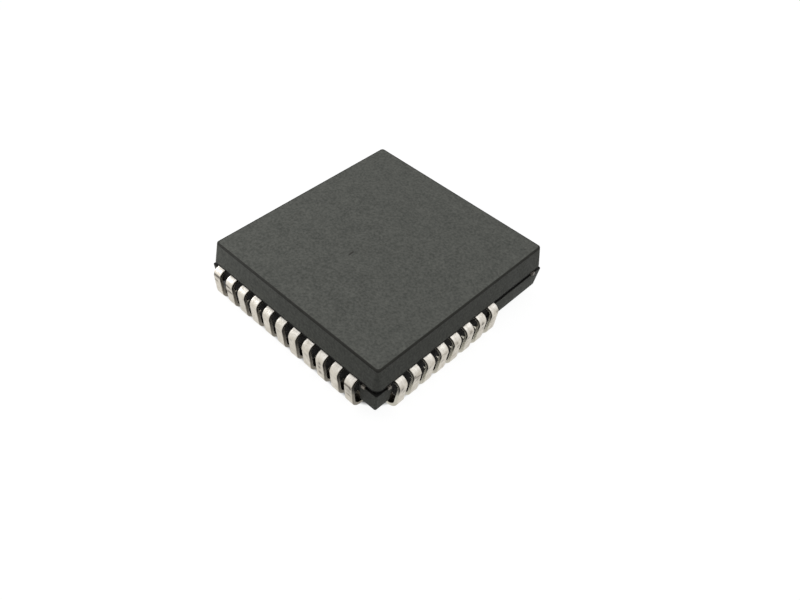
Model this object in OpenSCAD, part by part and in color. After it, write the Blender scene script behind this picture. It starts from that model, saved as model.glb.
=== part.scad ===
// Plastic leaded chip carrier with J-shaped leads on four sides.
// Millimetres, +Z up. The origin is on the seating plane, under the middle of the body.
// The front row of leads is on the -Y side, and the rows follow anticlockwise from above.

/* [Body] */
// Length of the body along the front row, at the parting line
body_x = 15.66; // [15.4:0.02:16.6]
// Length of the body along the right-hand row, at the parting line
body_y = 16.5; // [16.3:0.02:16.66]
// Height of the top face above the seating plane
top_z = 4.37; // [4.2:0.01:4.57]
// Height of the underside above the seating plane
bottom_z = 0.82; // [0.7:0.01:0.9]
// How far each side leans in from the parting line to the top face
top_inset = 0.25; // [0.15:0.01:0.36]
// How far each corner post leans in from the parting line to the underside
under_inset = 0.16; // [0.05:0.01:0.25]
// Chamfer along the edges of the top face
edge_cut = 0.06; // [0.02:0.01:0.12]
// Radius of the upper half's corners at the top face
top_corner = 0.22; // [0.15:0.01:0.3]
// Radius of the upper half's corners at the parting line
parting_corner = 0.5; // [0.3:0.01:0.6]
// Radius of the corner posts' corners
post_corner = 0.12; // [0.08:0.01:0.2]
// Depth of the groove that runs round the body at the lead frame
groove_depth = 0.25; // [0.2:0.01:0.3]
// How far that groove reaches below the leads
groove_step = 0.05; // [0.03:0.01:0.08]

/* [Lead rows] */
// Distance from the end leads of the left and right rows to the corners beside them
side_margin = 1.9; // [1.85:0.01:1.95]
// Distance from the last lead of the front row to the right-hand corner
right_margin = 1.94; // [1.88:0.01:2]
// Distance from the first lead of the front row to the left-hand corner
left_margin = 1.02; // [0.95:0.01:1.08]
// Width of a lead
lead_w = 0.69; // [0.6:0.01:0.75]
// Thickness of the lead frame
lead_t = 0.25; // [0.2:0.01:0.26]
// Height of the leads' upper face where they leave the body
shoulder_z = 2.66; // [2.55:0.01:2.75]
// How far the leads stand out from the parting line
lead_out = 0.5; // [0.4:0.01:0.55]
// Outer radius of the bend at the shoulder
bend_r = 0.55; // [0.45:0.01:0.6]
// Inward lean of the leg, in degrees
lean = 5.5; // [2:0.5:7]
// Outer radius of the curl under the body
curl_r = 0.75; // [0.68:0.01:0.82]
// Straight rise of the tip past the curl
tip_rise = 0.2; // [0.1:0.01:0.25]

/* [Recesses] */
// Depth of the recess behind a row of leads
recess_depth = 0.35; // [0.3:0.01:0.6]
// Room beside the end leads of a row
recess_side = 0.16; // [0.12:0.01:0.22]
// Room around the tip of a lead in its pocket
tip_room = 0.12; // [0.1:0.01:0.16]

/* [Inside] */
// Side of the die pad
pad_side = 6.4; // [6:0.1:6.8]
// Side of the die
die_side = 5; // [4.4:0.1:5.6]
// Thickness of the die
die_t = 0.35; // [0.25:0.01:0.5]
// Thickness of the layer under the die
attach_t = 0.04; // [0.03:0.01:0.06]
// Width of a tie bar
tie_w = 0.24; // [0.2:0.01:0.26]
// Thickness of a bond wire
wire_t = 0.03; // [0.03:0.005:0.05]
// Height of a bond wire's loop above the die
wire_rise = 0.25; // [0.15:0.01:0.35]

/* [Hidden] */
ROW_COUNT = 11;
ABSENT_COUNT = 3;
BODY_COLOUR = [0.33, 0.34, 0.32];
TIN_COLOUR = [0.78, 0.78, 0.75];

// Leads in the front, right, back and left rows. The right row's last places are empty.
ROWS = [0:3];
ROW_LEADS = [ROW_COUNT, ROW_COUNT - ABSENT_COUNT, ROW_COUNT, ROW_COUNT];
LEADS = [for (row = ROWS) for (i = [0:ROW_LEADS[row] - 1]) [row, i]];

// Pin 1 is in the middle of the left row, and the numbers run anticlockwise.
FIRST_PIN = (ROW_COUNT + 3) / 2;
function pin(row, i) = (FIRST_PIN - 1 + ROW_COUNT * row + i) % (4 * ROW_COUNT) + 1;
function lead_name(row, i) = str("lead_", pin(row, i) < 10 ? "0" : "", pin(row, i));

// The lead frame lies flat between these two heights.
frame_z = shoulder_z - lead_t;
// Below it the groove goes on a little, and a flange set back to the groove carries the leads.
groove_z = frame_z - groove_step;
flange_lap = 0.05;
flange_z = groove_z - flange_lap;
SEAM = 0.02;
CORNER_STEP = 22.5;
ARC_STEP = 7.5;

// Each row is drawn on the -Y side and turned into place: face(row) is the distance from the
// middle to the row's parting line, and lead_x is where a lead stands along its row. The leads
// fill the length between the margins, at a pitch of 1.27 with the sizes above.
front_pitch = (body_x - left_margin - right_margin) / (ROW_COUNT - 1);
side_pitch = (body_y - 2 * side_margin) / (ROW_COUNT - 1);
function face(row) = (row % 2 == 0 ? body_y : body_x) / 2;
function margin(row) = [left_margin, side_margin, right_margin, side_margin][row];
function pitch(row) = row % 2 == 0 ? front_pitch : side_pitch;
function lead_x(row, i) = margin(row) - face(row + 1) + i * pitch(row);

// Side view of a lead: x runs outwards from the parting line and y is height.
bend_x = lead_out - bend_r;
bend_z = shoulder_z - bend_r;
leg_drop = bend_z - bend_r * sin(lean) - curl_r * (1 - sin(lean));
curl_x = bend_x + (bend_r - curl_r) * cos(lean) - leg_drop * tan(lean);
tip_x = curl_x - curl_r;
tip_z = curl_r + tip_rise;

// The pockets for the lead tips open from the recess into the underside.
pocket_depth = tip_room - tip_x;
pocket_z = max(tip_z, bottom_z) + tip_room;

// The inner fingers run straight in, then taper to a ring of tips around the die pad.
finger_run = 0.7;
finger_w = 0.45;
finger_tip_w = 0.3;
tip_gap = 0.8;
tip_corner = 0.5;
tip_ring = pad_side / 2 + tip_gap;
tip_pitch = 2 * (tip_ring - tip_corner) / (ROW_COUNT - 1);
function finger_root(row, i) = [lead_x(row, i), finger_run - face(row)];
function finger_tip(i) = [(i - (ROW_COUNT - 1) / 2) * tip_pitch, -tip_ring];

// The tie bars fork near each corner. Their cut ends stand a little proud of the sides.
tie_end = 1.05;
tie_fork = 1.2;
tie_aside = 0.45;
tie_proud = 0.12;

// The bond wires start just inside the edge of the die and land part of the way up each finger.
die_z = shoulder_z + attach_t + die_t;
wire_inset = 0.2;
wire_pitch = (die_side - 4 * wire_inset) / (ROW_COUNT - 1);
wire_landing = 0.07;
wire_foot = 0.12;

// Points on an arc, one for each angle in a list
function arc(centre, r, angles) = [for (t = angles) centre + r * [cos(t), sin(t)]];
function reversed(list) = [for (k = [len(list) - 1:-1:0]) list[k]];

// Side view of the formed part of a lead: round the bend, down the leg, round the curl and up to
// the tip along the outer face, then back along the inner face
module lead_outline() {
    bend = [bend_x, bend_z];
    curl = [curl_x, curl_r];
    tip = [tip_x, tip_z];
    bend_turn = concat([for (t = [90:-ARC_STEP:0]) t], [-lean]);
    curl_turn = concat([-lean], [for (t = [-2 * ARC_STEP:-ARC_STEP:-180]) t]);
    polygon(concat(
        arc(bend, bend_r, bend_turn),
        arc(curl, curl_r, curl_turn),
        [tip, tip + [lead_t, 0]],
        arc(curl, curl_r - lead_t, reversed(curl_turn)),
        arc(bend, bend_r - lead_t, reversed(bend_turn))));
}

// Plan of the flat part of a lead, from the start of its bend to the tip of its finger
module finger_plan(row, i) {
    x = lead_x(row, i);
    out = -face(row) - bend_x;
    root = finger_root(row, i);
    tip = finger_tip(i);
    polygon([
        [x - lead_w / 2, out],
        [x + lead_w / 2, out],
        [x + lead_w / 2, root.y],
        root + [finger_w / 2, 0],
        tip + [finger_tip_w / 2, 0],
        tip - [finger_tip_w / 2, 0],
        root - [finger_w / 2, 0],
        [x - lead_w / 2, root.y]]);
}

module lead(row, i) {
    color(TIN_COLOUR)
        rotate(90 * row) {
            translate([0, 0, frame_z])
                linear_extrude(lead_t)
                    finger_plan(row, i);
            translate([lead_x(row, i) + lead_w / 2, -face(row), 0])
                rotate([90, 0, -90])
                    linear_extrude(lead_w)
                        lead_outline();
        }
}

// Plan of a bar between two points, run past each of them by half its width
module bar_plan(from, to) {
    along = to - from;
    translate(from)
        rotate(atan2(along.y, along.x))
            translate([-tie_w / 2, -tie_w / 2])
                square([norm(along) + tie_w, tie_w]);
}

// Plan of the tie bar for the corner on side sx of the X axis and side sy of the Y axis. On the
// -X side the front and back rows leave room only for the branch to the -X side.
module tie_plan(sx, sy) {
    corner = [sx * body_x / 2, sy * body_y / 2];
    fork = corner - [sx * (sx > 0 ? tie_fork : tie_fork - tie_aside), sy * tie_fork];
    back = tie_w / 2 - tie_proud;
    bar_plan([sx, sy] * (pad_side / 2 - tie_w), fork);
    bar_plan(fork, corner - [sx * back, sy * tie_end]);
    if (sx > 0)
        bar_plan(fork, corner - [sx * tie_end, sy * back]);
}

module pad_plan() {
    square(pad_side, center = true);
    for (sx = [-1, 1], sy = [-1, 1])
        tie_plan(sx, sy);
}

module die_pad() {
    color("peru")
        translate([0, 0, frame_z])
            linear_extrude(lead_t)
                pad_plan();
}

// A square block under the middle of the body, from height z up
module die_block(z, height) {
    translate([-die_side / 2, -die_side / 2, z])
        cube([die_side, die_side, height]);
}

module die_attach() {
    color("lightgray")
        die_block(shoulder_z, attach_t);
}

module die() {
    color("slategray")
        die_block(shoulder_z + attach_t, die_t);
}

// One bond wire: up from the die, then down in a straight line to a foot on the finger
module bond_wire(row, i) {
    tip = finger_tip(i);
    start = [(i - (ROW_COUNT - 1) / 2) * wire_pitch, wire_inset - die_side / 2];
    landing = tip + (finger_root(row, i) - tip) * wire_landing;
    along = landing - start;
    span = norm(along);
    loop_z = die_z + wire_rise;
    rotate(90 * row)
        translate([start.x, start.y, 0])
            rotate(atan2(along.y, along.x))
                translate([0, wire_t / 2, 0])
                    rotate([90, 0, 0])
                        linear_extrude(wire_t)
                            polygon([
                                [0, die_z],
                                [wire_t, die_z],
                                [wire_t, loop_z - wire_t],
                                [span - wire_foot, shoulder_z],
                                [span, shoulder_z],
                                [span, shoulder_z + wire_t],
                                [span - wire_foot, shoulder_z + wire_t],
                                [wire_t, loop_z],
                                [0, loop_z]]);
}

module bond_wires() {
    color("gold")
        for (lead = LEADS)
            bond_wire(lead[0], lead[1]);
}

// A block with leaning sides and rounded upright corners, as the space between pairs of parallel
// planes. It is given by levels of [inset of the sides, corner radius, height], from the bottom up.
function reach(angle, inset, r) =
    abs(cos(angle)) * (body_x / 2 - inset - r) + abs(sin(angle)) * (body_y / 2 - inset - r) + r;

module leaning_block(levels) {
    intersection_for (angle = [0:CORNER_STEP:179]) {
        right = [for (v = levels) [reach(angle, v[0], v[1]), v[2]]];
        left = [for (k = [len(right) - 1:-1:0]) [-right[k].x, right[k].y]];
        rotate([90, 0, angle])
            linear_extrude(2 * (body_x + body_y), center = true)
                polygon(concat(right, left));
    }
}

// The upper half, moulded over the die and its wires
module upper_half() {
    rise = top_z - shoulder_z;
    inset = top_inset * (rise - edge_cut) / rise;
    difference() {
        leaning_block([
            [0, parting_corner, shoulder_z],
            [inset, top_corner, top_z - edge_cut],
            [inset + edge_cut, top_corner - edge_cut, top_z]]);
        die_block(shoulder_z, attach_t + die_t);
        for (lead = LEADS)
            bond_wire(lead[0], lead[1]);
    }
}

// Plan of the body where it is set back by the depth of the groove
module set_back_plan() {
    square([body_x, body_y] - 2 * groove_depth * [1, 1], center = true);
}

// The layer between the fingers of the lead frame. It runs a little way into the flange below it
// and the half above it, so that they are one piece.
module frame_layer() {
    translate([0, 0, frame_z - SEAM])
        linear_extrude(lead_t + 2 * SEAM)
            difference() {
                set_back_plan();
                pad_plan();
                for (lead = LEADS)
                    rotate(90 * lead[0])
                        finger_plan(lead[0], lead[1]);
            }
}

// The thin flange under the lead frame, which closes the recesses at the top
module flange() {
    translate([0, 0, flange_z])
        linear_extrude(frame_z - flange_z)
            set_back_plan();
}

// The recess behind a row. It ends just past the last leads, and posts are left at the corners.
module recess(row) {
    room = lead_w / 2 + recess_side;
    first = lead_x(row, 0) - room;
    last = lead_x(row, ROW_LEADS[row] - 1) + room;
    rotate(90 * row)
        translate([first, -2 * face(row), 0])
            cube([last - first, face(row) + recess_depth, shoulder_z]);
}

// The pocket in the underside for the tip of one lead
module tip_pocket(row, i) {
    wide = lead_w + 2 * tip_room;
    rotate(90 * row)
        translate([lead_x(row, i) - wide / 2, -face(row), 0])
            cube([wide, pocket_depth, pocket_z]);
}

// The lower half, with its recesses, corner posts and tip pockets
module lower_half() {
    difference() {
        leaning_block([
            [under_inset, post_corner, bottom_z],
            [0, post_corner, groove_z]]);
        for (row = ROWS)
            recess(row);
        for (lead = LEADS)
            tip_pocket(lead[0], lead[1]);
    }
}

module moulded_body() {
    color(BODY_COLOUR) {
        upper_half();
        frame_layer();
        flange();
        lower_half();
    }
}

moulded_body();
die_pad();
die_attach();
die();
bond_wires();
for (lead = LEADS)
    lead(lead[0], lead[1]);
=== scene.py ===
# %% [markdown]
# # A leaded chip carrier
# The part is a flat block of moulded epoxy with rows of J-shaped leads tucked under its edges.
# The CAD model gives the sizes and places. This lesson gives each piece its finished surface:
# the moulded skin with its soft edges, the stamped and tinned leads, and the matte finishes.
# Sizes are in millimetres, as on a drawing, and become metres where a mesh is made.

# %% Load the frame and measure it
import math

import bpy
import numpy as np
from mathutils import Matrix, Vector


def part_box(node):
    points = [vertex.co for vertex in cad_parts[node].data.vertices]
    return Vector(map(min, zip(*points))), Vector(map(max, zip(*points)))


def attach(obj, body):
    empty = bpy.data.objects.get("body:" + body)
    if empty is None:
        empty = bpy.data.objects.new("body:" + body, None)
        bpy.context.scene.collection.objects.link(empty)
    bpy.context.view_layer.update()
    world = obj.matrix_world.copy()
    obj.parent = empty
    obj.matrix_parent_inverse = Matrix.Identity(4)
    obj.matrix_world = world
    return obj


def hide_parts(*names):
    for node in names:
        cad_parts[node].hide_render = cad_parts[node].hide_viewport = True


MM = 0.001
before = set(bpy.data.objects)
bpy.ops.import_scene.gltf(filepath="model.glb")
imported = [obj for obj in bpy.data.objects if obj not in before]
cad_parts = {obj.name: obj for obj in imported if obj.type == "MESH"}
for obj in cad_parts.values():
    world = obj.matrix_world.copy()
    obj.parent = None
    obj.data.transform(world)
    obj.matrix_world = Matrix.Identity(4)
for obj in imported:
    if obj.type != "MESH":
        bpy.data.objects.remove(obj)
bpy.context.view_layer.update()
body_low, body_high = (np.array(corner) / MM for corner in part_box("moulded_body"))
half = body_high[:2]
top_z = body_high[2]
bottom_z = body_low[2]
print("body at the parting line", 2 * half, "from", bottom_z, "to", top_z)

# %% [markdown]
# ## From a grid of points to a closed mesh
# Each new piece is a surface of two parameters: one runs round a closed outline and the other
# runs from outline to outline. It could be built by hand with extrudes and loop cuts, but a grid
# of points follows the drawing exactly, and the points all move together in one array. Where an
# outline touches itself, points that fall together are welded, and the cells between them go.


# %% A helper that skins a grid
# Points that fall in the same step, of so many to the millimetre, are welded
WELD_STEPS = 1e5


def paint(piece, name, values):
    """Stores one number for each vertex, for a material to read."""
    layer = piece.data.attributes.new(name, "FLOAT", "POINT")
    layer.data.foreach_set("value", np.asarray(values, np.float32).ravel())


def skin(name, grid, sharp_angle, marks=()):
    """A closed mesh from grid[outline, point, xyz] in mm: each cell of four neighbouring points
    becomes two triangles, equal points are welded, and the first and last outlines are capped.
    The volume's sign tells whether the faces point outwards. Marks are (name, values on the
    grid) for the materials to read."""
    outlines, points = grid.shape[:2]
    keys = np.round(grid.reshape(-1, 3) * WELD_STEPS).astype(np.int64)
    _, first, index = np.unique(keys, axis=0, return_index=True, return_inverse=True)
    index = index.reshape(outlines, points)
    after = np.roll(index, -1, axis=1)
    cells = np.stack([index[:-1], after[:-1], after[1:], index[1:]], axis=-1).reshape(-1, 4)
    triangles = np.concatenate([cells[:, [0, 1, 2]], cells[:, [0, 2, 3]]])
    repeated = (triangles == np.roll(triangles, 1, axis=1)).any(axis=1)
    triangles = triangles[~repeated]
    caps = [ring[ring != np.roll(ring, 1)] for ring in (index[0][::-1], index[-1])]
    corners = grid.reshape(-1, 3)[first]
    a, b, c = (corners[triangles[:, k]] for k in range(3))
    if np.einsum("ij,ij->", a - corners.mean(axis=0), np.cross(b - a, c - a)) < 0:
        triangles = triangles[:, ::-1]
        caps = [ring[::-1] for ring in caps]
    mesh = bpy.data.meshes.new(name)
    mesh.from_pydata(corners * MM, [], triangles.tolist() + [ring.tolist() for ring in caps])
    mesh.shade_smooth()
    mesh.set_sharp_from_angle(angle=math.radians(sharp_angle))
    piece = bpy.data.objects.new(name, mesh)
    bpy.context.scene.collection.objects.link(piece)
    for mark, values in marks:
        paint(piece, mark, np.broadcast_to(values, grid.shape[:2]).ravel()[first])
    return piece


def points_of(piece):
    """The piece's vertices as one array, in mm."""
    flat = np.empty(3 * len(piece.data.vertices), np.float32)
    piece.data.vertices.foreach_get("co", flat)
    return flat.reshape(-1, 3) / MM


# %% [markdown]
# ## Where the leads stand
# Four rows of leads share one drawing. Each is drawn on the front side and turned a quarter turn
# at a time about the middle of the body. Eleven places fill the length between the margins, and
# the right-hand row has no leads in its last three places.

# %% Rows and places
ROW_COUNT = 11
ROW_LEADS = [11, 8, 11, 11]
FIRST_PIN = 7
LEFT_MARGIN, RIGHT_MARGIN, SIDE_MARGIN = 1.02, 1.94, 1.9
face = [half[1], half[0], half[1], half[0]]
reach = [half[0], half[1], half[0], half[1]]
starts = [LEFT_MARGIN, SIDE_MARGIN, RIGHT_MARGIN, SIDE_MARGIN]
front_pitch = (2 * half[0] - LEFT_MARGIN - RIGHT_MARGIN) / (ROW_COUNT - 1)
side_pitch = (2 * half[1] - 2 * SIDE_MARGIN) / (ROW_COUNT - 1)
pitches = [front_pitch, side_pitch, front_pitch, side_pitch]


def lead_places(row):
    """Distances of a row's leads along it, measured from the middle of the body."""
    return starts[row] - reach[row] + pitches[row] * np.arange(ROW_LEADS[row])


def on_side(row, along, out, height):
    """Turns a front-side drawing into place: along the row, out from its face, and up."""
    along, y, height = np.broadcast_arrays(along, -face[row] - out, height)
    c, s = [(1, 0), (0, 1), (-1, 0), (0, -1)][row]
    return np.stack([c * along - s * y, s * along + c * y, height], axis=-1)


print("lead pitch", front_pitch, "and", side_pitch)

# %% [markdown]
# ## The upper half of the body
# Epoxy fills the two halves of a mould, and the upper one gives the plain flat top with four
# leaning sides. A cube with a bevel would come close, but here the corners open from a tight
# radius at the top to a wide one at the parting line. So one rounded rectangle is carried down
# through levels of inset, corner radius and height: over the top edge, down the side, under the
# parting edge and up to the wall of the groove where the lead frame comes out.

# %% Levels of the upper half
PARTING_Z = 2.66
TOP_INSET = 0.25
TOP_CORNER, PARTING_CORNER, GROOVE_CORNER = 0.22, 0.5, 0.02
TOP_ROUND, PARTING_ROUND = 0.09, 0.03
GROOVE_DEPTH = 0.25
FLANGE_Z = 2.31
BAND_IN, BAND_DOWN, BAND_FADE = 0.015, 0.045, 0.02
SEAM_BAND = 0.06
EDGE_STEPS, CORNER_STEPS = 8, 9
side_lean = math.atan2(TOP_INSET, top_z - PARTING_Z)


def side_inset(z):
    """Inset of the leaning side at a height, from none at the parting line."""
    return (z - PARTING_Z) * math.tan(side_lean)


def rounded_edge(edge_z, radius, start, end):
    """Insets and heights on an arc that leaves a flat face at edge_z and runs into the side,
    as its normal turns from angle start to angle end above the horizontal."""
    turn = np.linspace(start, end, EDGE_STEPS)
    centre_z = edge_z - math.copysign(radius, start + end)
    foot_z = centre_z + radius * math.sin(side_lean)
    centre_in = side_inset(foot_z) + radius * math.cos(side_lean)
    return centre_in - radius * np.cos(turn), centre_z + radius * np.sin(turn)


top_in, top_edge_z = rounded_edge(top_z, TOP_ROUND, math.pi / 2, side_lean)
low_in, low_edge_z = rounded_edge(PARTING_Z, PARTING_ROUND, side_lean, -math.pi / 2)
band_in = top_in[0] + np.array([BAND_IN + BAND_FADE, BAND_IN])
band_z = top_edge_z[-1] - np.array([BAND_DOWN, BAND_DOWN + BAND_FADE])
seam_z = low_edge_z[0] + np.array([SEAM_BAND + BAND_FADE, SEAM_BAND])
groove_in, groove_edges_z = [GROOVE_DEPTH, GROOVE_DEPTH], [PARTING_Z, FLANGE_Z]
side_z = np.concatenate([band_z, seam_z])
inset = np.concatenate([band_in, top_in, side_inset(side_z), low_in, groove_in])
height = np.concatenate([[top_z, top_z], top_edge_z, side_z, low_edge_z, groove_edges_z])
flare = np.clip(inset[:-2] / TOP_INSET, 0, 1)
side_corner = PARTING_CORNER + (TOP_CORNER - PARTING_CORNER) * flare
corner = np.concatenate([side_corner, [GROOVE_CORNER, GROOVE_CORNER]])
# The painted shade of the top edge starts at the second ring, crosses the rounded edge and ends one
# ring below it
top_edge_shade = np.zeros(len(height))
top_edge_shade[1:len(band_in) + len(top_in) + 1] = 1
print("upper half", len(height), "levels; its sides lean", math.degrees(side_lean), "degrees")


# %% Skin of the upper half
def rounded_rectangles(inset, corner, height):
    """Rounded rectangles about the Z axis: a quarter circle of each level's corner radius about
    each of four centres, which lie inside the parting line by the inset and that radius."""
    angle = np.linspace(0, math.pi / 2, CORNER_STEPS) + np.arange(4)[:, None] * math.pi / 2
    quarter = np.array([[1, 1], [-1, 1], [-1, -1], [1, -1]])[:, None]
    inset, corner = inset[:, None, None, None], corner[:, None, None, None]
    arc = np.stack([np.cos(angle), np.sin(angle)], axis=-1)
    plan = (quarter * (half - inset - corner) + corner * arc).reshape(len(height), -1, 2)
    level = np.broadcast_to(height[:, None, None], (*plan.shape[:2], 1))
    return np.concatenate([plan, level], axis=-1)


SHARP_ANGLE = 32
upper_grid = rounded_rectangles(inset, corner, height)
upper_half = skin("body_skin", upper_grid, SHARP_ANGLE, [("top_edge_shade", top_edge_shade[:, None])])
print("upper half", len(upper_half.data.polygons), "faces")

# %% [markdown]
# ## The lower half of the body
# Under the leads the lower half is cut back. Each row has a recess for the legs, with a small
# pocket in the underside for every tip, and what is left at the corners stands as posts. Each
# point of the outline moves in two ways: the posts lean in towards the underside, and the pockets
# open below a set height. So one outline and two numbers for each level give every wall.

# %% Outline of the lower half
GROOVE_Z, POCKET_Z = 2.36, 1.07
POST_LEAN, POST_CORNER, POST_ROUND = 0.16, 0.12, 0.02
RECESS_DEPTH, POCKET_DEPTH = 0.35, 1.252
LEAD_W, LEAD_T = 0.69, 0.25
RECESS_SIDE, TIP_ROOM = 0.16, 0.12
recess_half = LEAD_W / 2 + RECESS_SIDE
pocket_half = LEAD_W / 2 + TIP_ROOM


def fixed(along, depth, along_lean=0, depth_lean=0, opens=0):
    """Points as columns: along the row, depth, their shares of the lean, and pocket opening."""
    return np.stack(np.broadcast_arrays(along, depth, along_lean, depth_lean, opens), axis=-1)


def row_outline(row):
    """One side of the outline, from the start of the recess to the post at the corner after it."""
    places = lead_places(row)
    first, last = places[0] - recess_half, places[-1] + recess_half
    wall = np.array([0, RECESS_DEPTH])
    pocket = places[:, None] + pocket_half * np.array([-1, -1, 1, 1])
    opens = np.array([0, 1, 1, 0]) * (POCKET_DEPTH - RECESS_DEPTH)
    pockets = fixed(pocket, RECESS_DEPTH, opens=opens).reshape(-1, 5)
    turn = np.linspace(0, math.pi / 2, CORNER_STEPS)
    round_along = reach[row] - POST_CORNER * (1 - np.sin(turn))
    post = fixed(round_along, POST_CORNER * (1 - np.cos(turn)), -1, 1)
    start = fixed(first, wall, depth_lean=[1, 0])
    end = fixed(last, wall[::-1], depth_lean=[0, 1])
    return np.concatenate([start, pockets, end, post])


def lower_outline(lean, opening, z):
    """The outline at one level, with its posts leaning in and its pockets open or closed."""
    sides = []
    for row in range(4):
        p = row_outline(row)
        along = p[:, 0] + p[:, 2] * lean
        sides.append(on_side(row, along, -(p[:, 1] + p[:, 3] * lean + p[:, 4] * opening), z))
    return np.concatenate(sides)


print("outline of the lower half", len(lower_outline(0, 0, GROOVE_Z)), "points")


# %% Skin of the lower half, joined to the upper half
def post_lean(z):
    """Lean of the posts at a height, from none at the groove."""
    return POST_LEAN * (GROOVE_Z - z) / (GROOVE_Z - bottom_z)


ROUND_MIDDLE = 0.3 * POST_ROUND
lower_levels = [
    (POST_ROUND, 0, GROOVE_Z),
    (ROUND_MIDDLE, 0, GROOVE_Z - ROUND_MIDDLE),
    (post_lean(GROOVE_Z - POST_ROUND), 0, GROOVE_Z - POST_ROUND),
    (post_lean(POCKET_Z), 0, POCKET_Z),
    (post_lean(POCKET_Z), 1, POCKET_Z),
    (post_lean(bottom_z + POST_ROUND), 1, bottom_z + POST_ROUND),
    (POST_LEAN + POST_ROUND, 1, bottom_z),
]
lower_grid = np.stack([lower_outline(*level) for level in lower_levels])
lower_half = skin("lower_half", lower_grid, SHARP_ANGLE, [("top_edge_shade", 0)])
join = upper_half.modifiers.new("moulded together", "BOOLEAN")
join.operation = "UNION"
join.solver = "EXACT"
join.object = lower_half
body = upper_half
evaluated = body.evaluated_get(bpy.context.evaluated_depsgraph_get())
joined_mesh = bpy.data.meshes.new_from_object(evaluated)
body.modifiers.clear()
body.data = joined_mesh
joined_mesh.name = "body_skin"
joined_mesh.shade_smooth()
joined_mesh.set_sharp_from_angle(angle=math.radians(SHARP_ANGLE))
bpy.data.objects.remove(lower_half)
print("moulded body", len(joined_mesh.vertices), "vertices", len(joined_mesh.polygons), "faces")

# %% [markdown]
# ## Marks on the body that follow its shape
# The rounded top edge gets painted shade, darker than the matte faces. Its rings
# were marked when the upper half was skinned. The groove, the recesses and the line of the parting
# edge get darker painted shade still, where little light gets in. A picture painted on the body
# could show this, but the shape already tells where they are, so each vertex in them gets a mark.

# %% Recess marks
TOUCH = 0.002
xyz = points_of(body)
side_gap = (half - np.abs(xyz[:, :2])).min(axis=1)
below = xyz[:, 2] < PARTING_Z + TOUCH
in_groove = below & (xyz[:, 2] > GROOVE_Z - TOUCH) & (side_gap > POST_ROUND - TOUCH)
in_recess = below & (xyz[:, 2] > bottom_z + TOUCH) & (side_gap > GROOVE_DEPTH - TOUCH)
at_seam = (xyz[:, 2] > PARTING_Z - TOUCH) & (xyz[:, 2] < seam_z[1] + TOUCH)
# Painted shade goes on the groove, the recesses and a thin band above the parting edge
shaded_vertices = in_groove | in_recess | at_seam
paint(body, "recess", shaded_vertices)
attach(body, "root")
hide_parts("moulded_body")
print("recess marks on", int(shaded_vertices.sum()), "of", len(xyz), "vertices")

# %% [markdown]
# ## The leads
# A lead is stamped from sheet, plated and then formed: it leaves the body flat, bends down over a
# shoulder and curls under into a J. A curve with a bevel object would give a round wire, so a
# flat section with slightly rounded edges is carried along the path instead. The path is made of
# straight runs and two arcs, and the section stands square to it all the way.

# %% Path of a lead, from the tip of its inner finger to the tip of its J
LEAD_OUT, BEND_R, CURL_R, TIP_RISE = 0.5, 0.55, 0.75, 0.2
LEAD_LEAN = math.radians(5.5)
FRAME_POINTS = 4
FINGER_RUN, FINGER_W, FINGER_TIP_W = 0.7, 0.45, 0.3
TIP_RING, TIP_CORNER = 4.0, 0.5
SHOULDER_TAPER = 0.03
tip_pitch = 2 * (TIP_RING - TIP_CORNER) / (ROW_COUNT - 1)
bend_out, bend_z = LEAD_OUT - BEND_R, PARTING_Z - BEND_R
leg_drop = bend_z - BEND_R * math.sin(LEAD_LEAN) - CURL_R * (1 - math.sin(LEAD_LEAN))
curl_out = bend_out + (BEND_R - CURL_R) * math.cos(LEAD_LEAN) - leg_drop * math.tan(LEAD_LEAN)
BEND_STEPS, LEG_STEPS, CURL_STEPS = 30, 28, 30


def lead_path(row):
    """Outer face of a lead in side view, as distances out and up, with the direction that it
    faces: flat along the frame, round the bend, down the leg, round the curl and up to the tip."""
    bend = np.linspace(math.pi / 2, -LEAD_LEAN, BEND_STEPS)
    curl = np.linspace(-LEAD_LEAN, -math.pi, CURL_STEPS)
    turn = np.concatenate([bend, curl])
    radius = np.repeat([BEND_R, CURL_R], [BEND_STEPS, CURL_STEPS])
    centre_out = np.repeat([bend_out, curl_out], [BEND_STEPS, CURL_STEPS])
    centre_z = np.repeat([bend_z, CURL_R], [BEND_STEPS, CURL_STEPS])
    out = centre_out + radius * np.cos(turn)
    up = centre_z + radius * np.sin(turn)
    share = np.linspace(0, 1, LEG_STEPS + 2)[1:-1]
    leg = slice(BEND_STEPS - 1, BEND_STEPS + 1)
    out = np.insert(out, BEND_STEPS, np.interp(share, [0, 1], out[leg]))
    up = np.insert(up, BEND_STEPS, np.interp(share, [0, 1], up[leg]))
    turn = np.insert(turn, BEND_STEPS, np.full(LEG_STEPS, -LEAD_LEAN))
    root = -FINGER_RUN
    frame_out = np.array([TIP_RING - face[row], root - SHOULDER_TAPER, root, root / 2])
    out = np.concatenate([frame_out, out, out[-1:]])
    up = np.concatenate([np.full(FRAME_POINTS, PARTING_Z), up, up[-1:] + TIP_RISE])
    turn = np.concatenate([np.full(FRAME_POINTS, math.pi / 2), turn, turn[-1:]])
    return out, up, turn


print("leg drops", leg_drop, "and the curl's centre lies", curl_out, "from the parting line")

# %% [markdown]
# ## What makes each lead its own
# Forming tools leave traces, and no two leads on a real row look the same. Each lead gets a small
# lean, a faint waviness of its face, and in some places a crease where a tool or a socket pressed
# on it. These are real changes of shape, a few hundredths of a millimetre deep. The creases get
# painted shade, scuffs and handling leave dirt, and the cut edges of some rows get painted shade:
# those are marks to be read by the material. One lead copied to all the places would be simpler,
# but would look like a stamp.

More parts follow.
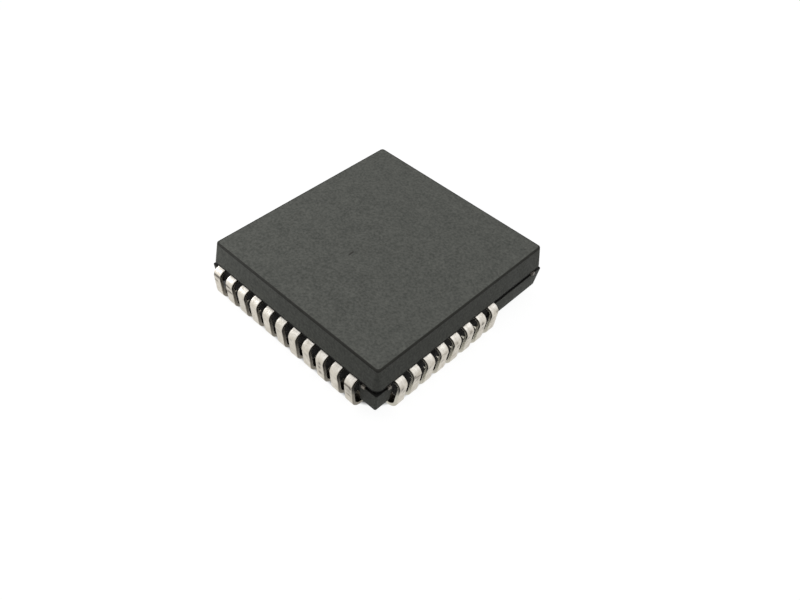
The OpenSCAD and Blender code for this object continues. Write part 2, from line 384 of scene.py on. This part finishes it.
# %% Creases and scuffs, by pin number
WAVE, SWAY, TUCK = 0.008, 0.014, 0.025
WAVE_LONG, WAVE_SHORT, WAVE_SLANT, WAVE_START = 5, 9, 3, 0.1
DULL, DULL_START, DULL_RUN = 0.14, 0.3, 0.6
CREASE_SHADE_DEPTH = 0.03
# Painted shade on the cut edges of each row: one is full, nought is none
EDGE_SHADE_BY_ROW = [1.0, 0.0, 0.5, 0.5]
# Each crease: run from the start of the bend, depth, half width, slant, place across, half length
CREASES = {
    7: [(0.76, 0.042, 0.085, 0.00, 0.00, 0.50), (1.25, 0.024, 0.060, 0.10, -0.15, 0.22)],
    8: [(0.92, 0.038, 0.080, 0.10, -0.10, 0.34), (1.36, 0.034, 0.075, 0.10, 0.05, 0.28)],
    10: [(0.86, 0.012, 0.030, 0.20, 0.10, 0.25)],
    12: [(1.05, 0.012, 0.040, -0.15, -0.10, 0.30)],
    15: [(1.14, 0.014, 0.040, 0.30, 0.00, 0.30), (1.52, 0.010, 0.030, -0.30, 0.10, 0.20)],
    17: [(0.88, 0.050, 0.090, 0.00, 0.00, 0.50), (1.72, 0.022, 0.050, 0.00, 0.00, 0.24)],
    19: [(0.86, 0.030, 0.055, 0.10, 0.04, 0.34)],
    21: [(0.74, 0.010, 0.040, 0.10, 0.00, 0.30)],
    23: [(0.90, 0.010, 0.040, -0.10, 0.00, 0.30)],
}
# Each scuff: run from the start of the bend, place across, size, strength
SCUFFS = {
    8: [(1.45, -0.28, 0.15, 1.0)],
    13: [(0.95, -0.10, 0.14, 0.5)],
    14: [(1.25, 0.10, 0.18, 0.4)],
    15: [(0.93, 0.05, 0.13, 1.0), (1.37, -0.03, 0.12, 1.0), (1.88, 0.00, 0.12, 0.9)],
    17: [(0.98, 0.18, 0.15, 1.0), (1.30, 0.05, 0.45, 0.45)],
    18: [(0.92, -0.14, 0.17, 0.9), (1.30, 0.10, 0.20, 0.5)],
    19: [(0.72, -0.28, 0.13, 0.9), (1.10, 0.05, 0.20, 0.6)],
    20: [(0.95, -0.15, 0.14, 0.6)],
    21: [(0.80, 0.10, 0.16, 0.5), (1.40, -0.10, 0.16, 0.5)],
    22: [(0.70, -0.10, 0.12, 0.6), (1.10, 0.05, 0.20, 0.5)],
    23: [(0.75, 0.00, 0.15, 0.7), (1.15, -0.15, 0.15, 0.6)],
    24: [(0.80, -0.05, 0.14, 1.0), (1.30, 0.12, 0.14, 0.6)],
    25: [(0.70, 0.18, 0.12, 0.7), (1.20, -0.15, 0.16, 0.4)],
}


def tool_marks(pin, run, across, press, soil_and_crease_shade):
    """Adds a pin's creases and scuffs to what presses its face in and to its soil and crease shade.
    A crease is a bell curve about its line, and gets more painted shade the deeper it is; a scuff
    of dirt is round."""
    for at, deep, narrow, slant, beside, length in CREASES.get(pin, []):
        off_line = ((run - at - slant * across) / narrow) ** 2
        ends = ((across - beside) / length) ** 4
        # A crease gets painted shade, full from this depth
        crease_shade = min(1, deep / CREASE_SHADE_DEPTH)
        press = press + deep * np.exp(-off_line - ends)
        soil_and_crease_shade = np.maximum(soil_and_crease_shade, crease_shade * np.exp(-off_line / 2 - ends))
    for at, beside, size, strength in SCUFFS.get(pin, []):
        off_middle = ((run - at) / size) ** 2 + ((across - beside) / size) ** 2
        soil_and_crease_shade = np.maximum(soil_and_crease_shade, strength * np.exp(-off_middle))
    return press, soil_and_crease_shade


print("creases on pins", list(CREASES), "and scuffs on pins", list(SCUFFS))

# %% Section of a lead
EDGE_R, EDGE_POINTS, FACE_POINTS = 0.04, 4, 11


def stamped_section():
    """A flat section with rounded edges: for each point its share of the flat half width, how
    far it bulges past that, and its depth below the outer face. It goes over the outer face,
    round one edge on two quarter circles, back along the inner face and round the other edge."""
    quarter = np.linspace(0, math.pi / 2, EDGE_POINTS)
    turn = np.concatenate([quarter, quarter + math.pi / 2])
    bulge = EDGE_R * np.sin(turn)
    inner = np.repeat([0, LEAD_T - 2 * EDGE_R], EDGE_POINTS)
    depth = EDGE_R * (1 - np.cos(turn)) + inner
    flat = np.linspace(-1, 1, FACE_POINTS)[1:-1]
    edge = np.ones(2 * EDGE_POINTS)
    share = np.concatenate([flat, edge, -flat, -edge])
    bulge = np.concatenate([0 * flat, bulge, 0 * flat, -bulge])
    depth = np.concatenate([0 * flat, depth, 0 * flat + LEAD_T, depth[::-1]])
    return share, bulge, depth


print("section of a lead", len(stamped_section()[0]), "points")


# %% Surface of one lead
def lead_surface(row, place, pin, rng):
    """Section points carried along the path: along the row by the lead's place, the finger's fan
    and the section's width; out and up by the path, less the depth below the outer face in the
    direction that it faces. Creases and waves press the outer face in the same way."""
    out, up, turn = lead_path(row)
    share, bulge, section_depth = stamped_section()
    run = np.hypot(np.diff(out, prepend=out[0]), np.diff(up, prepend=up[0])).cumsum()
    run = (run - run[FRAME_POINTS])[:, None]
    middle = lead_places(row)[place]
    tip = (place - (ROW_COUNT - 1) / 2) * tip_pitch
    flat = np.arange(len(out)) < FRAME_POINTS
    taper = np.interp(out, out[:3], [FINGER_TIP_W, FINGER_W, LEAD_W])
    width = np.where(flat, taper, LEAD_W)
    fan = np.interp(out, out[:2], [tip, middle])
    hang = np.maximum.accumulate(np.clip(bend_z - up, 0, None))
    centre = np.where(flat, fan, middle) + hang * rng.uniform(-SWAY, SWAY)
    out = out - hang * rng.uniform(0, TUCK)
    across = share * (width[:, None] / 2 - EDGE_R) + bulge
    phase = rng.uniform(0, 2 * math.pi, 2)
    wave = np.sin(WAVE_LONG * run + phase[0] + WAVE_SLANT * across)
    wave = wave * np.sin(WAVE_SHORT * run + phase[1])
    press = WAVE * (1 + wave) * (run > WAVE_START)
    # Random greying down the leg is dirt from handling; the tool marks add dirt from scuffs and
    # painted shade in the creases
    soil_and_crease_shade = rng.uniform(0, DULL) * np.clip((run - DULL_START) / DULL_RUN, 0, 1) + 0 * across
    press, soil_and_crease_shade = tool_marks(pin, run, across, press, soil_and_crease_shade)
    outer = np.clip(1 - section_depth / (2 * EDGE_R), 0, 1)
    depth = section_depth + press * outer
    grid = on_side(
        row,
        centre[:, None] + across,
        out[:, None] - depth * np.cos(turn)[:, None],
        up[:, None] - depth * np.sin(turn)[:, None],
    )
    marks = {
        "along": run,
        "across": across,
        "soil_and_crease_shade": soil_and_crease_shade * outer,
        "cut_edge": np.clip(np.abs(bulge) / EDGE_R, 0, 1),
        "inward": section_depth / LEAD_T,
        "edge_row_shade": EDGE_SHADE_BY_ROW[row],
    }
    return grid, marks.items()


# %% All the leads
SEED = 44
rng = np.random.default_rng(SEED)
leads = {}
for row in range(4):
    for place in range(ROW_LEADS[row]):
        pin = (FIRST_PIN - 1 + ROW_COUNT * row + place) % (4 * ROW_COUNT) + 1
        node = f"lead_{pin:02d}"
        grid, marks = lead_surface(row, place, pin, rng)
        leads[pin] = skin(f"tinned_{node}", grid, SHARP_ANGLE, marks)
        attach(leads[pin], "root")
        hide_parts(node)
print("leads", len(leads), "with", len(leads[1].data.vertices), "vertices each")

# %% [markdown]
# ## Building materials from nodes
# Every finish is worked out from nodes, so it holds at any distance and needs no picture. Typing
# out each node takes many lines, so one short helper adds a node and another fills its sockets:
# a value is set on the socket, and another node's output is linked to it.


# %% Helpers for node trees
def into(tree, node, **sockets):
    """Sets or links sockets, named with underscores for spaces, or numbered as i0, i1, ..."""
    for name, value in sockets.items():
        numbered = name[0] == "i" and name[1:].isdigit()
        socket = node.inputs[int(name[1:]) if numbered else name.replace("_", " ")]
        if isinstance(value, bpy.types.NodeSocket):
            tree.links.new(value, socket)
        else:
            socket.default_value = value


def add(tree, kind, settings=None, **sockets):
    """Adds a node with its settings, and fills its sockets."""
    node = tree.nodes.new("ShaderNode" + kind)
    for name, value in (settings or {}).items():
        setattr(node, name, value)
    into(tree, node, **sockets)
    return node


def blend(tree, share, first, second):
    """Mixes two colours, by a share that changes over the surface."""
    node = add(tree, "Mix", {"data_type": "RGBA"}, i0=share, i6=first, i7=second)
    return node.outputs[2]


def spread(tree, value, low, high, to_low, to_high):
    """Maps a value's range onto another, and stops at its ends."""
    names = {"From_Min": low, "From_Max": high, "To_Min": to_low, "To_Max": to_high}
    return add(tree, "MapRange", Value=value, **names).outputs[0]


def linear(red, green, blue):
    """A colour as it looks on screen, 0 to 255, made linear for a shader."""
    screen = np.array([red, green, blue]) / 255
    light = np.where(screen <= 0.04045, screen / 12.92, ((screen + 0.055) / 1.055) ** 2.4)
    return (*light.tolist(), 1.0)


def new_material(name):
    """An empty material, with its Principled BSDF joined to the output."""
    material = bpy.data.materials.new(name)
    material.use_nodes = True
    tree = material.node_tree
    return material, tree, tree.nodes["Principled BSDF"]


# %% [markdown]
# ## Grain and specks, shared by the finishes
# Moulded epoxy is full of fine glass, and plated metal is made of fine crystals, so both break up
# the light at a scale of a few hundredths of a millimetre. Two node groups give this: grain, as a
# height and a broader tone, and specks, as scattered dots. Each finish sets its own sizes.


# %% Node groups
def new_group(name, inputs, outputs):
    """A shader node group with float sockets; returns the tree, its inputs and its output node."""
    tree = bpy.data.node_groups.new(name, "ShaderNodeTree")
    for socket, value in inputs.items():
        made = tree.interface.new_socket(socket, in_out="INPUT", socket_type="NodeSocketFloat")
        made.default_value = value
    for socket in outputs:
        tree.interface.new_socket(socket, in_out="OUTPUT", socket_type="NodeSocketFloat")
    return tree, tree.nodes.new("NodeGroupInput").outputs, tree.nodes.new("NodeGroupOutput")


def place_in_mm(tree):
    """Object coordinates in millimetres."""
    where = add(tree, "TexCoord").outputs["Object"]
    return add(tree, "VectorMath", {"operation": "SCALE"}, i0=where, Scale=1 / MM).outputs[0]


def math_node(tree, operation, first, second=0.0):
    """A sum, product or the like of two numbers."""
    return add(tree, "Math", {"operation": operation}, i0=first, i1=second).outputs[0]


def vector_node(tree, operation, first, second=(0.0, 0.0, 0.0)):
    """The same for two vectors, where the result is a vector too."""
    return add(tree, "VectorMath", {"operation": operation}, i0=first, i1=second).outputs[0]


BROAD_SCALE = 0.16
grain_group, given, result = new_group("grain", {"Size": 0.1}, ["Height", "Tone"])
where = place_in_mm(grain_group)
fine_scale = math_node(grain_group, "DIVIDE", 1.0, given["Size"])
broad_scale = math_node(grain_group, "MULTIPLY", fine_scale, BROAD_SCALE)
fine = add(grain_group, "TexNoise", Vector=where, Scale=fine_scale, Detail=3.0, Roughness=0.6)
broad = add(grain_group, "TexNoise", Vector=where, Scale=broad_scale, Detail=4.0, Roughness=0.6)
grain_group.links.new(fine.outputs[0], result.inputs["Height"])
grain_group.links.new(broad.outputs[0], result.inputs["Tone"])

DOT_SMALL, DOT_LARGE, DOT_CORE = 0.04, 0.16, 0.5
speck_group, given, result = new_group("specks", {"Spacing": 0.5, "Share": 0.3}, ["Mask"])
where = place_in_mm(speck_group)
cell_scale = math_node(speck_group, "DIVIDE", 1.0, given["Spacing"])
cells = add(speck_group, "TexVoronoi", Vector=where, Scale=cell_scale)
split = add(speck_group, "SeparateColor", Color=cells.outputs["Color"])
chosen = math_node(speck_group, "LESS_THAN", split.outputs[0], given["Share"])
size = spread(speck_group, split.outputs[1], 0.0, 1.0, DOT_SMALL, DOT_LARGE)
near = math_node(speck_group, "DIVIDE", cells.outputs["Distance"], size)
dot = spread(speck_group, near, DOT_CORE, 1.0, 1.0, 0.0)
speck_group.links.new(math_node(speck_group, "MULTIPLY", dot, chosen), result.inputs["Mask"])
print("node groups", [g.name for g in bpy.data.node_groups])

# %% Short calls for the groups
NOISE_LOW, NOISE_HIGH = 0.3, 0.7


def grain(tree, size):
    """Height of the fine grain and tone of the broad one, for a grain size in mm."""
    node = add(tree, "Group", {"node_tree": grain_group}, Size=size)
    return node.outputs["Height"], node.outputs["Tone"]


def specks(tree, spacing, share):
    """One on scattered dots: their spacing in mm, and the share of places that have one."""
    node = add(tree, "Group", {"node_tree": speck_group}, Spacing=spacing, Share=share)
    return node.outputs["Mask"]


def stretched(tree, noise, to_low=0.0, to_high=1.0):
    """Noise keeps near its middle, so its usual range is mapped onto the whole of another."""
    return spread(tree, noise, NOISE_LOW, NOISE_HIGH, to_low, to_high)


def bump(tree, height, depth_mm):
    """A normal from a height of this depth."""
    return add(tree, "Bump", Height=height, Distance=depth_mm * MM).outputs[0]


def painted(tree, name):
    """The number that a vertex mark gives."""
    return add(tree, "Attribute", {"attribute_name": name}).outputs["Fac"]


# %% [markdown]
# ## The moulded epoxy
# The body is a dark warm grey, matte from the rough steel of the mould, with a faint mottle, a few
# pale specks of filler and dark pits, and one short scratch on its top. A single grey would look
# like paper. So two greys are mixed by the grain, the specks, pits and scratch lie over them, and
# the marks on the vertices paint shade on the top edge and in the recesses.

# %% A short scratch on the top
SCRATCH_FROM, SCRATCH_TO = (-0.685, -2.41, 0.0), (-0.708, -1.784, 0.0)
SCRATCH_W, CORE_SHARE, FULL_SHARE = 0.09, 0.3, 0.6
TOP_SKIN = 0.1


def short_scratch(tree):
    """One near a straight line on the top face, and nought away from it or below: the distances
    from the line's middle, along it and across it, each fade out."""
    start, end = np.array(SCRATCH_FROM), np.array(SCRATCH_TO)
    half_length = np.linalg.norm(end - start) / 2
    run = (end - start) / (2 * half_length)
    off = vector_node(tree, "SUBTRACT", place_in_mm(tree), tuple((start + end) / 2))

    def fading(direction, full, none):
        """One up to the distance full in a direction, and nought from the distance none."""
        dot = add(tree, "VectorMath", {"operation": "DOT_PRODUCT"}, i0=off, i1=direction)
        distance = math_node(tree, "ABSOLUTE", dot.outputs["Value"])
        return spread(tree, distance, full, none, 1.0, 0.0)

    along = fading(tuple(run), FULL_SHARE * half_length, half_length)
    across = fading((-run[1], run[0], 0.0), CORE_SHARE * SCRATCH_W, SCRATCH_W)
    height = add(tree, "SeparateXYZ", Vector=off).outputs["Z"]
    on_top = math_node(tree, "GREATER_THAN", height, top_z - TOP_SKIN)
    return math_node(tree, "MULTIPLY", math_node(tree, "MULTIPLY", along, across), on_top)


print("scratch", math.dist(SCRATCH_FROM, SCRATCH_TO), "mm long")

# %% Mould compound
MOULD_LOW, MOULD_HIGH = linear(62, 64, 60), linear(102, 103, 98)
# Painted shade: dark grey for the top edge, near black for the groove, recesses and seam
MOULD_EDGE_SHADE, MOULD_RECESS_SHADE = linear(40, 40, 36), linear(9, 8, 7)
MOULD_SPECK, MOULD_PIT = linear(150, 151, 145), linear(52, 51, 48)
MOULD_GRAIN, MOULD_RELIEF, TONE_SHARE = 0.17, 0.012, 0.3
SPECK_SPACING, SPECK_SHARE = 0.8, 0.02
PIT_SPACING, PIT_SHARE = 1.7, 0.10
ROUGH_LOW, ROUGH_HIGH, SHINE = 0.66, 0.8, 0.22
mould, tree, shader = new_material("mould_compound")
height, tone = grain(tree, MOULD_GRAIN)
tone = stretched(tree, tone)
mottle = add(tree, "Mix", i0=TONE_SHARE, i2=stretched(tree, height), i3=tone).outputs[0]
colour = blend(tree, mottle, MOULD_LOW, MOULD_HIGH)
colour = blend(tree, specks(tree, SPECK_SPACING, SPECK_SHARE), colour, MOULD_SPECK)
colour = blend(tree, specks(tree, PIT_SPACING, PIT_SHARE), colour, MOULD_PIT)
colour = blend(tree, short_scratch(tree), colour, MOULD_PIT)
# Painted shade along the rounded top edge
colour = blend(tree, painted(tree, "top_edge_shade"), colour, MOULD_EDGE_SHADE)
# Painted shade, near black, in the groove, the recesses and along the parting edge
colour = blend(tree, painted(tree, "recess"), colour, MOULD_RECESS_SHADE)
into(tree, shader, Base_Color=colour, Normal=bump(tree, height, MOULD_RELIEF))
into(tree, shader, Roughness=spread(tree, tone, 0.0, 1.0, ROUGH_LOW, ROUGH_HIGH))
into(tree, shader, Specular_IOR_Level=SHINE)
body.data.materials.clear()
body.data.materials.append(mould)
print("material", mould.name)

# %% [markdown]
# ## The tin plate
# Matte tin is a soft bright metal. Drawing and forming leave faint lines that run down the lead,
# handling greys it in patches, and scuffs leave dirt. Painted shade darkens the leg below the
# shoulder, the creases, the inner face and the stamped edges of some rows, and the stamped edges
# are grey, with a painted dark arc of shade under the bend. The lines follow the lead
# through two marks, its length and its width, so they turn the bend with it.

# %% Colours and ranges of the tin
# Colours of the tin; the shoulder and leg colours paint shade that deepens down the lead
TIN_LIT_SHOULDER, TIN_SHADED_LEG, TIN_GREY = linear(231, 227, 220), linear(212, 206, 194), linear(178, 171, 158)
TIN_SOIL_AND_CREASE_SHADE, TIN_EDGE, TIN_SHADE = linear(62, 54, 47), linear(206, 202, 188), linear(34, 31, 27)
TIN_INNER_SHADE, TIN_EDGE_ROW_SHADE = linear(104, 98, 88), linear(134, 128, 116)
TIN_GRAIN, TIN_RELIEF, LINE_RELIEF = 0.07, 0.006, 1.5
LINE_SCALE = (14.0, 1.2, 1.0)
# Each range: from low, from high, to low, to high
SHOULDER_TO_LEG_SHADE = (0.3, 0.7, 0.0, 1.0)
GREY_PATCHES, GREY_LINES = (0.4, 0.7, 0.0, 0.6), (0.5, 0.75, 0.0, 0.5)
SOIL_AND_SHADE_GRAIN = (0.3, 0.6, 0.65, 1.0)
INNER_FACE_SHADE = (0.9, 1.0, 0.0, 1.0)
UNDER_BEND, BY_OUTER_FACE = (1.0, 1.5, 1.0, 0.0), (0.35, 0.6, 1.0, 0.0)
TIN_ROUGH_LOW, TIN_ROUGH_HIGH = 0.34, 0.5
EDGE_METAL = (0.0, 1.0, 1.0, 0.8)
print("tin from", TIN_LIT_SHOULDER, "down to", TIN_SOIL_AND_CREASE_SHADE)

# %% Tin
tin, tree, shader = new_material("tin_plate")
height, tone = grain(tree, TIN_GRAIN)
along, inward, cut_edge = (painted(tree, mark) for mark in ("along", "inward", "cut_edge"))
line_place = add(tree, "CombineXYZ", X=painted(tree, "across"), Y=along)
line_place = vector_node(tree, "MULTIPLY", line_place.outputs[0], LINE_SCALE)
lines = add(tree, "TexNoise", Vector=line_place, Scale=1.0, Detail=3.0).outputs[0]
# Painted shade: the tin darkens from the shoulder down the leg
colour = blend(tree, spread(tree, along, *SHOULDER_TO_LEG_SHADE), TIN_LIT_SHOULDER, TIN_SHADED_LEG)
colour = blend(tree, spread(tree, tone, *GREY_PATCHES), colour, TIN_GREY)
colour = blend(tree, spread(tree, lines, *GREY_LINES), colour, TIN_GREY)
# Dirt from handling and scuffs, and painted shade in the creases
soil_and_crease_shade = math_node(tree, "MULTIPLY", painted(tree, "soil_and_crease_shade"), spread(tree, height, *SOIL_AND_SHADE_GRAIN))
colour = blend(tree, soil_and_crease_shade, colour, TIN_SOIL_AND_CREASE_SHADE)
# Painted shade on the inner face of the lead
colour = blend(tree, spread(tree, inward, *INNER_FACE_SHADE), colour, TIN_INNER_SHADE)
# Painted shade on the cut edges, more on some rows than on others
edge_colour = blend(tree, painted(tree, "edge_row_shade"), TIN_EDGE, TIN_EDGE_ROW_SHADE)
colour = blend(tree, cut_edge, colour, edge_colour)
by_face = spread(tree, inward, *BY_OUTER_FACE)
arc = math_node(tree, "MULTIPLY", spread(tree, along, *UNDER_BEND), by_face)
shaded = math_node(tree, "MULTIPLY", arc, cut_edge)
colour = blend(tree, shaded, colour, TIN_SHADE)
relief = math_node(tree, "ADD", height, math_node(tree, "MULTIPLY", lines, LINE_RELIEF))
into(tree, shader, Base_Color=colour, Normal=bump(tree, relief, TIN_RELIEF))
into(tree, shader, Roughness=stretched(tree, tone, TIN_ROUGH_LOW, TIN_ROUGH_HIGH))
into(tree, shader, Metallic=spread(tree, cut_edge, *EDGE_METAL))
for lead in leads.values():
    lead.data.materials.append(tin)
print("material", tin.name, "on", len(leads), "leads")

# %% [markdown]
# ## The pieces inside
# Under the epoxy lie the die pad with its tie bars, the die on its layer of glue, and the bond
# wires. Only the cut ends of the tie bars can be seen, in the groove near the corners. The CAD
# meshes are right as they are, so they only get finishes: dull copper alloy, polished silicon,
# silver-filled glue and gold.

# %% Finishes of the inner pieces
ROUGH_VARIES, INNER_RELIEF = 0.08, 0.004


def inner_metal(name, low, high, size, roughness):
    """A metal whose colour, gloss and relief follow the shared grain, of a size in mm."""
    material, tree, shader = new_material(name)
    height, tone = grain(tree, size)
    colour = blend(tree, stretched(tree, tone), low, high)
    gloss = stretched(tree, tone, roughness - ROUGH_VARIES, roughness + ROUGH_VARIES)
    into(tree, shader, Base_Color=colour, Metallic=1.0, Roughness=gloss)
    into(tree, shader, Normal=bump(tree, height, INNER_RELIEF))
    return material


inner_finishes = {
    "die_pad": inner_metal(
        "frame_metal", linear(94, 90, 84), linear(126, 120, 112), size=0.08, roughness=0.45
    ),
    "die_attach": inner_metal(
        "die_glue", linear(150, 150, 150), linear(190, 190, 188), size=0.05, roughness=0.6
    ),
    "die": inner_metal(
        "silicon", linear(70, 74, 84), linear(92, 96, 106), size=0.3, roughness=0.16
    ),
    "bond_wires": inner_metal(
        "gold_wire", linear(212, 170, 84), linear(236, 196, 110), size=0.04, roughness=0.2
    ),
}
for node, material in inner_finishes.items():
    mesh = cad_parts[node].data
    mesh.materials.clear()
    mesh.materials.append(material)
print("finished", list(inner_finishes))

# %% [markdown]
# ## The camera
# The photograph looks down on the near corner. Its angle, distance and lens come from fitting the
# corners of the block and the leads, so the render can be laid over it. The image is 800 by 600,
# and the lens is a little off its middle, which the shift gives.

# %% Camera
IMAGE_W, IMAGE_H, SENSOR = 800, 600, 36.0
AZIMUTH, ELEVATION, ROLL = (math.radians(v) for v in (41.306, 43.8548, 4.3161))
DISTANCE, TARGET_Z, CLIP_START = 56.9294, 2.2, 1.0
FOCAL_PX, MIDDLE_X, MIDDLE_Y = 820.8931, 378.951, 267.2666
back = np.array([
    math.sin(AZIMUTH) * math.cos(ELEVATION),
    -math.cos(AZIMUTH) * math.cos(ELEVATION),
    math.sin(ELEVATION),
])
level = np.array([math.cos(AZIMUTH), math.sin(AZIMUTH), 0.0])
upright = np.cross(back, level)
right = level * math.cos(ROLL) + upright * math.sin(ROLL)
upward = upright * math.cos(ROLL) - level * math.sin(ROLL)
camera_data = bpy.data.cameras.new("camera")
camera_data.sensor_width = SENSOR
camera_data.lens = FOCAL_PX * SENSOR / IMAGE_W
camera_data.shift_x = (IMAGE_W / 2 - MIDDLE_X) / IMAGE_W
camera_data.shift_y = (MIDDLE_Y - IMAGE_H / 2) / IMAGE_W
camera_data.clip_start = CLIP_START * MM
camera = bpy.data.objects.new("camera", camera_data)
place = np.eye(4)
place[:3, :3] = np.stack([right, upward, back], axis=1)
place[:3, 3] = (np.array([0, 0, TARGET_Z]) + DISTANCE * back) * MM
camera.matrix_world = place.T
bpy.context.scene.collection.objects.link(camera)
bpy.context.scene.camera = camera
print("camera", camera.location, "lens", camera_data.lens)

# %% [markdown]
# ## The light
# The photograph was taken in even light on white. A sky that is bright above and dark at the sides
# lights the top more than the flanks, one broad lamp above gives the soft shadow, and a small low
# lamp at the left brightens that end of the front row. A white room would do all this too, but
# takes far longer to render. The world looks white to the camera and in reflections, while the
# light that it sheds stays plain.

# %% World
SKY_SIDE, SKY_TOP = 0.0, 0.98
SKY_FROM, SKY_TO = 0.18, 0.95
WHITE = (1.0, 1.0, 1.0, 1.0)
scene = bpy.context.scene
scene.view_settings.view_transform = "Standard"
world = bpy.data.worlds.new("white_room")
scene.world = world
world.use_nodes = True
tree = world.node_tree


def ray_kinds(tree):
    """Two numbers: one for rays from the camera, and one for those that mirror or pass through."""
    path = add(tree, "LightPath").outputs
    mirrored = math_node(tree, "MAXIMUM", path["Is Glossy Ray"], path["Is Transmission Ray"])
    return path["Is Camera Ray"], mirrored


direction = add(tree, "SeparateXYZ", Vector=add(tree, "TexCoord").outputs["Generated"])
sky = spread(tree, direction.outputs["Z"], SKY_FROM, SKY_TO, SKY_SIDE, SKY_TOP)
seen_white = math_node(tree, "MAXIMUM", *ray_kinds(tree))
strength = add(tree, "Mix", i0=seen_white, i2=sky, i3=1.0).outputs[0]
into(tree, tree.nodes["Background"], Color=WHITE, Strength=strength)
print("sky from", SKY_SIDE, "to", SKY_TOP)


# %% Lamps
def soft_lamp(name, place, size, power):
    """A square lamp at a place in metres, which faces the origin."""
    data = bpy.data.lights.new(name, "AREA")
    data.size = size
    data.energy = power
    lamp = bpy.data.objects.new(name, data)
    lamp.location = place
    lamp.rotation_euler = lamp.location.to_track_quat("Z", "Y").to_euler()
    scene.collection.objects.link(lamp)


soft_lamp("lamp_above", place=(0.035, 0.03, 0.16), size=0.16, power=0.046)
soft_lamp("lamp_left", place=(-0.032, -0.017, 0.010), size=0.02, power=0.006)
print("lamps", [light.name for light in bpy.data.lights])

# %% [markdown]
# ## The floor
# The floor takes the shadow and looks white round it, like the world. A floor without shadow would
# let the part float. Under the part the camera sees it without that white, because hardly any light
# gets there, and it gives the black between the leads. That dark area is a rounded rectangle
# a little inside the body. It stops short where the three leads are missing and light comes in.

# %% Floor
FLOOR_HALF, FLOOR_STEPS = 600.0, 25
line = np.linspace(-FLOOR_HALF, FLOOR_HALF, FLOOR_STEPS) * MM
flat = [np.zeros((FLOOR_STEPS, FLOOR_STEPS))]
floor_points = np.stack(np.meshgrid(line, line, indexing="ij") + flat, -1)
number = np.arange(FLOOR_STEPS**2).reshape(FLOOR_STEPS, FLOOR_STEPS)
squares = np.stack([number[:-1, :-1], number[1:, :-1], number[1:, 1:], number[:-1, 1:]], -1)
floor_mesh = bpy.data.meshes.new("floor")
floor_mesh.from_pydata(floor_points.reshape(-1, 3), [], squares.reshape(-1, 4).tolist())
floor = bpy.data.objects.new("floor", floor_mesh)
scene.collection.objects.link(floor)
print("floor", 2 * FLOOR_HALF, "mm square")

# %% Finish of the floor
FLOOR_COLOUR, FLOOR_LIFT = (0.12, 0.12, 0.12, 1.0), 0.93
SHADE_IN, SHADE_LEFT, SHADE_FADE = 0.10, 0.40, 0.15
CORNER_LEFT, CORNER_RIGHT, CORNER_BLEND = 0.8, 2.8, 1.0
BARE_X, BARE_SLANT, BARE_REACH = 7.1, 0.45, 9.035
floor_finish, tree, shader = new_material("pale_floor")


def outside_shade(tree):
    """How far a place lies outside the dark area, in mm: the length of what is past the centre of
    the rectangle's rounded corner, less that corner's radius, or, by the missing leads, the
    distance past both a line along the side and a slanting one, if that is more."""
    where = place_in_mm(tree)
    split = add(tree, "SeparateXYZ", Vector=where).outputs
    change = (-CORNER_BLEND, CORNER_BLEND, CORNER_LEFT, CORNER_RIGHT)
    radius = spread(tree, split["X"], *change)
    spot = vector_node(tree, "ADD", where, (SHADE_LEFT / 2, 0.0, 0.0))
    edge = (half[0] - SHADE_IN + SHADE_LEFT / 2, half[1] - SHADE_IN, FLOOR_HALF)
    past = vector_node(tree, "SUBTRACT", vector_node(tree, "ABSOLUTE", spot), edge)
    past = vector_node(tree, "MAXIMUM", vector_node(tree, "ADD", past, radius))
    far = add(tree, "VectorMath", {"operation": "LENGTH"}, i0=past).outputs["Value"]
    outside = math_node(tree, "SUBTRACT", far, radius)
    slant = math_node(tree, "ADD", split["X"], math_node(tree, "MULTIPLY", split["Y"], BARE_SLANT))
    past_slant = math_node(tree, "SUBTRACT", slant, BARE_REACH)
    past_side = math_node(tree, "SUBTRACT", split["X"], BARE_X)
    bare = math_node(tree, "MINIMUM", past_side, past_slant)
    return math_node(tree, "MAXIMUM", outside, bare)


open_floor = spread(tree, outside_shade(tree), -SHADE_FADE, SHADE_FADE, 0.0, FLOOR_LIFT)
from_camera, mirrored = ray_kinds(tree)
to_camera = math_node(tree, "MULTIPLY", from_camera, open_floor)
lift = math_node(tree, "MAXIMUM", to_camera, math_node(tree, "MULTIPLY", mirrored, FLOOR_LIFT))
into(tree, shader, Base_Color=FLOOR_COLOUR, Roughness=1.0, Specular_IOR_Level=0.0)
into(tree, shader, Emission_Color=WHITE, Emission_Strength=lift)
floor_mesh.materials.append(floor_finish)
print("material", floor_finish.name)
